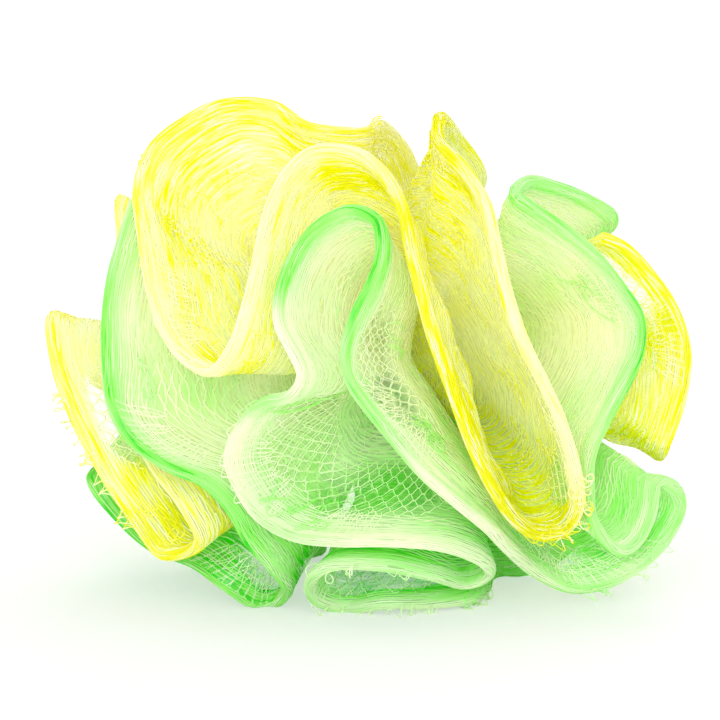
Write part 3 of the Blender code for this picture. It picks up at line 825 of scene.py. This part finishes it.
def node_of(tree, kind, **values):
    """A new shader node with these settings."""
    node = tree.nodes.new(kind)
    for label, value in values.items():
        setattr(node, label, value)
    return node


def empty_material(name):
    """A material without nodes, and its node tree."""
    material = bpy.data.materials.new(name)
    material.use_nodes = True
    material.node_tree.nodes.clear()
    return material, material.node_tree


def ribs_along(tree):
    """Uneven ribs that run along the netting, alike in its threads and its haze."""
    weave = node_of(tree, "ShaderNodeAttribute", attribute_name="weave")
    stretch = node_of(tree, "ShaderNodeVectorMath", operation="MULTIPLY")
    stretch.inputs[1].default_value = (1 / RIB_LENGTH, 1 / RIB_WIDTH, 0)
    tree.links.new(weave.outputs["Vector"], stretch.inputs[0])
    streak = node_of(tree, "ShaderNodeTexNoise", noise_dimensions="2D")
    streak.inputs["Scale"].default_value = 1
    streak.inputs["Detail"].default_value = 1
    tree.links.new(stretch.outputs[0], streak.inputs["Vector"])
    return streak.outputs["Fac"]


def tinted(tree, colours, seed, ribs, rib_strength):
    """White through to the deepest colour by the tint of each place, with fine mottling and ribs."""
    tint = node_of(tree, "ShaderNodeAttribute", attribute_name="tint")
    mottle = node_of(tree, "ShaderNodeTexNoise", noise_dimensions="4D")
    mottle.inputs["Scale"].default_value = MOTTLE_CELLS
    mottle.inputs["W"].default_value = seed
    mottle.inputs["Detail"].default_value = 2
    shift = node_of(tree, "ShaderNodeMath", operation="MULTIPLY_ADD")
    shift.inputs[1].default_value = MOTTLE
    shift.inputs[2].default_value = -MOTTLE / 2
    tree.links.new(mottle.outputs["Fac"], shift.inputs[0])
    mottled = node_of(tree, "ShaderNodeMath", operation="ADD", use_clamp=True)
    tree.links.new(tint.outputs["Fac"], mottled.inputs[0])
    tree.links.new(shift.outputs[0], mottled.inputs[1])
    middling = node_of(tree, "ShaderNodeMath", operation="MULTIPLY_ADD")
    middling.inputs[1].default_value = rib_strength
    middling.inputs[2].default_value = -rib_strength / 2
    tree.links.new(ribs, middling.inputs[0])
    share = node_of(tree, "ShaderNodeMath", operation="ADD")
    share.inputs[1].default_value = RIB_FLOOR
    tree.links.new(tint.outputs["Fac"], share.inputs[0])
    ribbed = node_of(tree, "ShaderNodeMath", operation="MULTIPLY")
    tree.links.new(middling.outputs[0], ribbed.inputs[0])
    tree.links.new(share.outputs[0], ribbed.inputs[1])
    total = node_of(tree, "ShaderNodeMath", operation="ADD", use_clamp=True)
    tree.links.new(mottled.outputs[0], total.inputs[0])
    tree.links.new(ribbed.outputs[0], total.inputs[1])
    ramp = node_of(tree, "ShaderNodeValToRGB")
    pale, strong, deep = colours
    ramp.color_ramp.elements[0].color = (*pale, 1)
    ramp.color_ramp.elements[1].color = (*deep, 1)
    ramp.color_ramp.elements.new(1 / DEEPEST_TINT).color = (*strong, 1)
    tree.links.new(total.outputs[0], ramp.inputs["Fac"])
    return ramp.outputs["Color"]


def see_through(tree, colour, through):
    """Light scattered back by a thread mixed with light that passes into it."""
    front = node_of(tree, "ShaderNodeBsdfDiffuse")
    front.inputs["Roughness"].default_value = MATT
    back = node_of(tree, "ShaderNodeBsdfTranslucent")
    mix = node_of(tree, "ShaderNodeMixShader")
    mix.inputs["Fac"].default_value = through
    for shader in (front, back):
        tree.links.new(colour, shader.inputs["Color"])
    tree.links.new(front.outputs[0], mix.inputs[1])
    tree.links.new(back.outputs[0], mix.inputs[2])
    return mix.outputs[0]


def strand_material(name, colours, seed, rib_strength):
    """Thin plastic thread: light passes into it, with a faint gloss."""
    material, tree = empty_material(name)
    colour = tinted(tree, colours, seed, ribs_along(tree), rib_strength)
    body = see_through(tree, colour, STRAND_THROUGH)
    gloss = node_of(tree, "ShaderNodeBsdfGlossy")
    gloss.inputs["Roughness"].default_value = GLOSS_ROUGHNESS
    gloss.inputs["Color"].default_value = (1, 1, 1, 1)
    mix = node_of(tree, "ShaderNodeMixShader")
    mix.inputs["Fac"].default_value = STRAND_GLOSS
    tree.links.new(body, mix.inputs[1])
    tree.links.new(gloss.outputs[0], mix.inputs[2])
    out = node_of(tree, "ShaderNodeOutputMaterial")
    tree.links.new(mix.outputs[0], out.inputs["Surface"])
    return material


def film_material(name, colours, seed, rib_strength):
    """A faint haze, drawn out in streaks along the netting and clear where the cells stand open."""
    material, tree = empty_material(name)
    ribs = ribs_along(tree)
    colour = tinted(tree, colours, seed, ribs, rib_strength)
    body = see_through(tree, colour, FILM_THROUGH)
    spread = node_of(tree, "ShaderNodeMapRange")
    spread.inputs["From Min"].default_value, spread.inputs["From Max"].default_value = RIB_RANGE
    spread.inputs["To Min"].default_value, spread.inputs["To Max"].default_value = STREAK_RANGE
    tree.links.new(ribs, spread.inputs["Value"])
    cover = node_of(tree, "ShaderNodeAttribute", attribute_name="cover")
    alpha = node_of(tree, "ShaderNodeMath", operation="MULTIPLY", use_clamp=True)
    tree.links.new(spread.outputs["Result"], alpha.inputs[0])
    tree.links.new(cover.outputs["Fac"], alpha.inputs[1])
    clear = node_of(tree, "ShaderNodeBsdfTransparent")
    mix = node_of(tree, "ShaderNodeMixShader")
    tree.links.new(alpha.outputs[0], mix.inputs["Fac"])
    tree.links.new(clear.outputs[0], mix.inputs[1])
    tree.links.new(body, mix.inputs[2])
    out = node_of(tree, "ShaderNodeOutputMaterial")
    tree.links.new(mix.outputs[0], out.inputs["Surface"])
    return material


def cord_material(name):
    """Twisted white cord: fine slanted plies and a soft sheen."""
    material, tree = empty_material(name)
    shader = node_of(tree, "ShaderNodeBsdfPrincipled")
    shader.inputs["Base Color"].default_value = (*CORD_COLOUR, 1)
    shader.inputs["Roughness"].default_value = MATT
    place = node_of(tree, "ShaderNodeTexCoord")
    plies = node_of(tree, "ShaderNodeTexWave", wave_type="BANDS", bands_direction="DIAGONAL")
    plies.inputs["Scale"].default_value = CORD_PLIES
    plies.inputs["Distortion"].default_value = CORD_UNEVEN
    bump = node_of(tree, "ShaderNodeBump")
    bump.inputs["Strength"].default_value = CORD_BUMP
    bump.inputs["Distance"].default_value = CORD_BUMP_HEIGHT
    tree.links.new(place.outputs["Object"], plies.inputs["Vector"])
    tree.links.new(plies.outputs["Fac"], bump.inputs["Height"])
    tree.links.new(bump.outputs["Normal"], shader.inputs["Normal"])
    out = node_of(tree, "ShaderNodeOutputMaterial")
    tree.links.new(shader.outputs[0], out.inputs["Surface"])
    return material


def plain_floor():
    """A white sheet that carries on past every side of the picture."""
    mesh = bpy.data.meshes.new("floor")
    corners = [(-FLOOR_HALF, -FLOOR_HALF, 0), (FLOOR_HALF, -FLOOR_HALF, 0),
               (FLOOR_HALF, FLOOR_HALF, 0), (-FLOOR_HALF, FLOOR_HALF, 0)]
    mesh.from_pydata(corners, [], [(0, 1, 2, 3)])
    floor = bpy.data.objects.new("floor", mesh)
    bpy.context.scene.collection.objects.link(floor)
    material, tree = empty_material("white_floor")
    shader = node_of(tree, "ShaderNodeBsdfDiffuse")
    shader.inputs["Color"].default_value = (*FLOOR_COLOUR, 1)
    white = node_of(tree, "ShaderNodeEmission")
    seen = node_of(tree, "ShaderNodeLightPath")
    share = node_of(tree, "ShaderNodeMath", operation="MULTIPLY")
    share.inputs[1].default_value = FLOOR_WHITE
    tree.links.new(seen.outputs["Is Camera Ray"], share.inputs[0])
    mix = node_of(tree, "ShaderNodeMixShader")
    tree.links.new(share.outputs[0], mix.inputs["Fac"])
    tree.links.new(shader.outputs[0], mix.inputs[1])
    tree.links.new(white.outputs[0], mix.inputs[2])
    out = node_of(tree, "ShaderNodeOutputMaterial")
    tree.links.new(mix.outputs[0], out.inputs["Surface"])
    mesh.materials.append(material)


def soft_boxes(ball_middle):
    """An even white room and two soft boxes that face the ball."""
    world = bpy.data.worlds.new("white_room")
    world.use_nodes = True
    background = world.node_tree.nodes["Background"]
    background.inputs["Color"].default_value = (1, 1, 1, 1)
    background.inputs["Strength"].default_value = ROOM_LIGHT
    bpy.context.scene.world = world
    boxes = (("front_box", KEY_WATTS, KEY_PLACE), ("back_box", BACK_WATTS, BACK_PLACE))
    for name, watts, place in boxes:
        lamp = bpy.data.lights.new(name, "AREA")
        lamp.shape = "DISK"
        lamp.size = LAMP_SIZE
        lamp.energy = watts
        box = bpy.data.objects.new(name, lamp)
        box.location = place
        box.rotation_euler = (Vector(ball_middle) - box.location).to_track_quat("-Z", "Y").to_euler()
        bpy.context.scene.collection.objects.link(box)


def photo_camera(ball_middle):
    """The camera of the photograph."""
    up = Vector((0, math.sin(VIEW_TILT), math.cos(VIEW_TILT)))
    toward = Vector((0, -math.cos(VIEW_TILT), math.sin(VIEW_TILT)))
    aim = Vector(ball_middle) + Vector((1, 0, 0)) * FRAME_RIGHT + up * FRAME_UP
    data = bpy.data.cameras.new("camera")
    data.sensor_width = CAMERA_SENSOR
    data.lens = CAMERA_LENS
    data.clip_end = CAMERA_FAR
    camera = bpy.data.objects.new("camera", data)
    camera.location = aim + toward * CAMERA_DISTANCE
    camera.rotation_euler = (math.pi / 2 - VIEW_TILT, 0, 0)
    bpy.context.scene.collection.objects.link(camera)
    bpy.context.scene.camera = camera


def netting(length, edge, others, shift):
    """The haze and the threads of one length of netting, which stand for its solid."""
    fold = Fold(length, edge, others, shift)
    seed = length.seed
    slot = length.colour + "_netting"
    haze = film_material(length.colour + "_haze", length.colours, seed, length.rib_strength)
    threads = strand_material(length.colour + "_threads", length.colours, seed + 1, length.rib_strength)
    film = film_mesh(length.colour + "_net_haze", fold, haze)
    lines = strand_lines(fold, length.thread_bias, seed + 5)
    loose = curl_lines(fold, length.curls, seed + 6) + loop_lines(fold, length.loops, seed + 7)
    loose += lace_lines(fold, seed + 8) + fan_lines(fold, length.fans, seed + 9)
    pieces = [film]
    for part in range(STRAND_PARTS):
        name = f"{length.colour}_strands_{part + 1}"
        share = share_of_lines(lines, loose, part / STRAND_PARTS, (part + 1) / STRAND_PARTS, fold.length)
        pieces.append(strand_mesh(name, share, threads))
    for piece in pieces:
        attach(piece, "root")
    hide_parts(slot)


def render_settings():
    """Plain colours, and enough bounces for light to come through many layers of netting."""
    scene = bpy.context.scene
    scene.view_settings.view_transform = "Standard"
    scene.cycles.transparent_max_bounces = CLEAR_LAYERS
    scene.cycles.max_bounces = LIGHT_BOUNCES
    scene.cycles.diffuse_bounces = LIGHT_BOUNCES
    scene.cycles.adaptive_threshold = NOISE_LIMIT


def main():
    render_settings()
    yellow_edge = folded_edge(YELLOW.edge)
    green_edge = folded_edge(GREEN.edge)
    reached = np.vstack([yellow_edge, green_edge])
    centre = (reached.min(axis=0) + reached.max(axis=0)) / 2
    shift = np.array([-centre[0], -centre[1], BASE_DROP])
    netting(YELLOW, yellow_edge, green_edge, shift)
    netting(GREEN, green_edge, yellow_edge, shift)
    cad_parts["centre_tie"].data.materials[0] = cord_material("twisted_cord")
    plain_floor()
    soft_boxes(shift)
    photo_camera(shift)


main()
